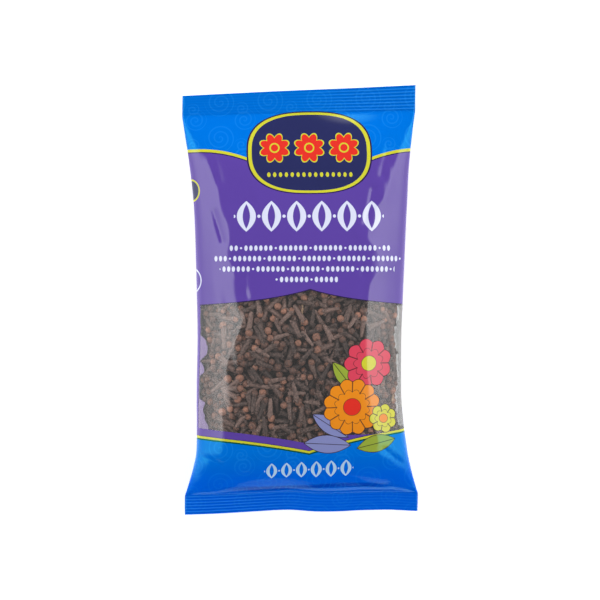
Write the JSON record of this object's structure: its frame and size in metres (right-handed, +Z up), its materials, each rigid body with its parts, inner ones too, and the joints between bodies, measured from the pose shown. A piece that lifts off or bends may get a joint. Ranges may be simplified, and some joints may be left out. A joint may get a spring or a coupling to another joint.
{
  "type": "sealed pouch of whole cloves",
  "caption": "Sealed plastic pillow pouch of whole cloves lying on its back, with a printed front, a clear window over the spice and a crimped seal at each end.",
  "frame": {"origin": "Middle of the pouch's length and width, on the flat underside that rests on the floor", "axes": "+X across the pouch to the right as the printed front is seen, +Y along the pouch towards the top seal, +Z up out of the printed front"},
  "size_m": [0.1304, 0.2372, 0.0337],
  "materials": {
    "printed_film": "glossy printed film, purple in the middle and blue at the ends, with a clear window"
  },
  "bodies": {
    "root": {"pouch": "printed_film"}
  },
  "joints": []
}
